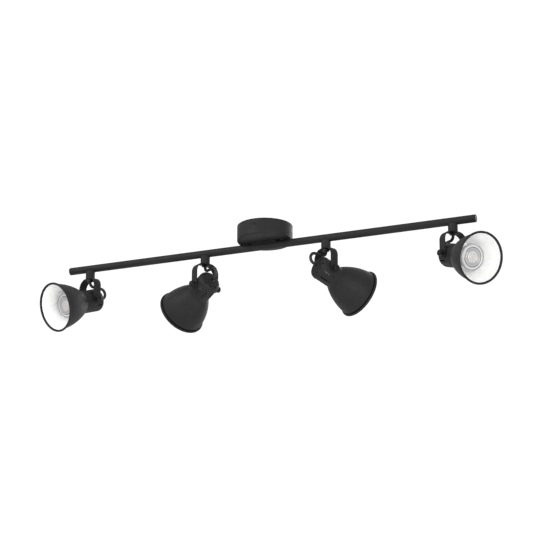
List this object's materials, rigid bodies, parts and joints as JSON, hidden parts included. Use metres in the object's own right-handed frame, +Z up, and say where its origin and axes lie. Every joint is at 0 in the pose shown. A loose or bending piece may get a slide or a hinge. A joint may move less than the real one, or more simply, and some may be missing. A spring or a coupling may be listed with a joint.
{
  "type": "track lighting fixture",
  "caption": "Ceiling spotlight bar: a round canopy carries a horizontal tube, with bell-shaped reflector heads that swivel on stems and tilt in U-shaped yokes.",
  "frame": {"origin": "centre of the canopy's ceiling face", "axes": "+X along the bar, +Z up to the ceiling, lamps below aim to both sides"},
  "size_m": [0.9379, 0.1989, 0.1857],
  "materials": {
    "black_powder_coat": "fine matte powder coat",
    "blackened_steel": "black satin",
    "zinc_plated_steel": "zinc plated",
    "terminal_plastic": "moulded",
    "white_ceramic": "glazed",
    "lamp_plastic": "moulded satin",
    "lamp_lens": "moulded clear lens over a pale reflector",
    "black_plastic": "matte",
    "black_cable": "smooth matte sheath"
  },
  "bodies": {
    "bar": {"canopy_cover": "black_powder_coat", "ceiling_bracket": "zinc_plated_steel", "canopy_screws": "blackened_steel", "terminal_block": "terminal_plastic", "tube_saddle": "black_powder_coat", "saddle_screws": "zinc_plated_steel", "bar_tube": "black_powder_coat", "end_cap_left": "black_powder_coat", "end_cap_right": "black_powder_coat", "tube_wiring": "black_cable", "swivel_stem_1": "black_powder_coat", "swivel_nipple_1": "blackened_steel", "swivel_stem_2": "black_powder_coat", "swivel_nipple_2": "blackened_steel", "swivel_stem_3": "black_powder_coat", "swivel_nipple_3": "blackened_steel", "swivel_stem_4": "black_powder_coat", "swivel_nipple_4": "blackened_steel"},
    "yoke_1": {"yoke_1": "black_powder_coat", "lead_1": "black_cable"},
    "head_1": {"shade_1": "black_powder_coat", "housing_1": "black_powder_coat", "pivot_screws_1": "blackened_steel", "pivot_washers_1": "black_plastic", "lamp_holder_1": "white_ceramic", "lamp_body_1": "lamp_plastic", "lamp_lens_1": "lamp_lens", "lead_grommet_1": "black_plastic"},
    "yoke_2": {"yoke_2": "black_powder_coat", "lead_2": "black_cable"},
    "head_2": {"shade_2": "black_powder_coat", "housing_2": "black_powder_coat", "pivot_screws_2": "blackened_steel", "pivot_washers_2": "black_plastic", "lamp_holder_2": "white_ceramic", "lamp_body_2": "lamp_plastic", "lamp_lens_2": "lamp_lens", "lead_grommet_2": "black_plastic"},
    "yoke_3": {"yoke_3": "black_powder_coat", "lead_3": "black_cable"},
    "head_3": {"shade_3": "black_powder_coat", "housing_3": "black_powder_coat", "pivot_screws_3": "blackened_steel", "pivot_washers_3": "black_plastic", "lamp_holder_3": "white_ceramic", "lamp_body_3": "lamp_plastic", "lamp_lens_3": "lamp_lens", "lead_grommet_3": "black_plastic"},
    "yoke_4": {"yoke_4": "black_powder_coat", "lead_4": "black_cable"},
    "head_4": {"shade_4": "black_powder_coat", "housing_4": "black_powder_coat", "pivot_screws_4": "blackened_steel", "pivot_washers_4": "black_plastic", "lamp_holder_4": "white_ceramic", "lamp_body_4": "lamp_plastic", "lamp_lens_4": "lamp_lens", "lead_grommet_4": "black_plastic"}
  },
  "joints": [
    {"name": "pan_1", "type": "hinge", "parent": "bar", "child": "yoke_1", "pos_m": [-0.3795, 0, -0.0607], "axis": [0, 0, 1], "range_deg": [-170, 170]},
    {"name": "tilt_1", "type": "hinge", "parent": "yoke_1", "child": "head_1", "pos_m": [-0.3795, 0, -0.1068], "axis": [0.8942, -0.4478, 0], "range_deg": [-19.7, 70.3], "deforming": ["lead_1"]},
    {"name": "pan_2", "type": "hinge", "parent": "bar", "child": "yoke_2", "pos_m": [-0.1265, 0, -0.0607], "axis": [0, 0, 1], "range_deg": [-170, 170]},
    {"name": "tilt_2", "type": "hinge", "parent": "yoke_2", "child": "head_2", "pos_m": [-0.1265, 0, -0.1068], "axis": [-0.506, -0.8625, 0], "range_deg": [-23, 67], "deforming": ["lead_2"]},
    {"name": "pan_3", "type": "hinge", "parent": "bar", "child": "yoke_3", "pos_m": [0.1265, 0, -0.0607], "axis": [0, 0, 1], "range_deg": [-170, 170]},
    {"name": "tilt_3", "type": "hinge", "parent": "yoke_3", "child": "head_3", "pos_m": [0.1265, 0, -0.1068], "axis": [-0.8616, 0.5075, 0], "range_deg": [-19.7, 70.3], "deforming": ["lead_3"]},
    {"name": "pan_4", "type": "hinge", "parent": "bar", "child": "yoke_4", "pos_m": [0.3795, 0, -0.0607], "axis": [0, 0, 1], "range_deg": [-170, 170]},
    {"name": "tilt_4", "type": "hinge", "parent": "yoke_4", "child": "head_4", "pos_m": [0.3795, 0, -0.1068], "axis": [0.592, 0.8059, 0], "range_deg": [-18.7, 71.3], "deforming": ["lead_4"]}
  ]
}
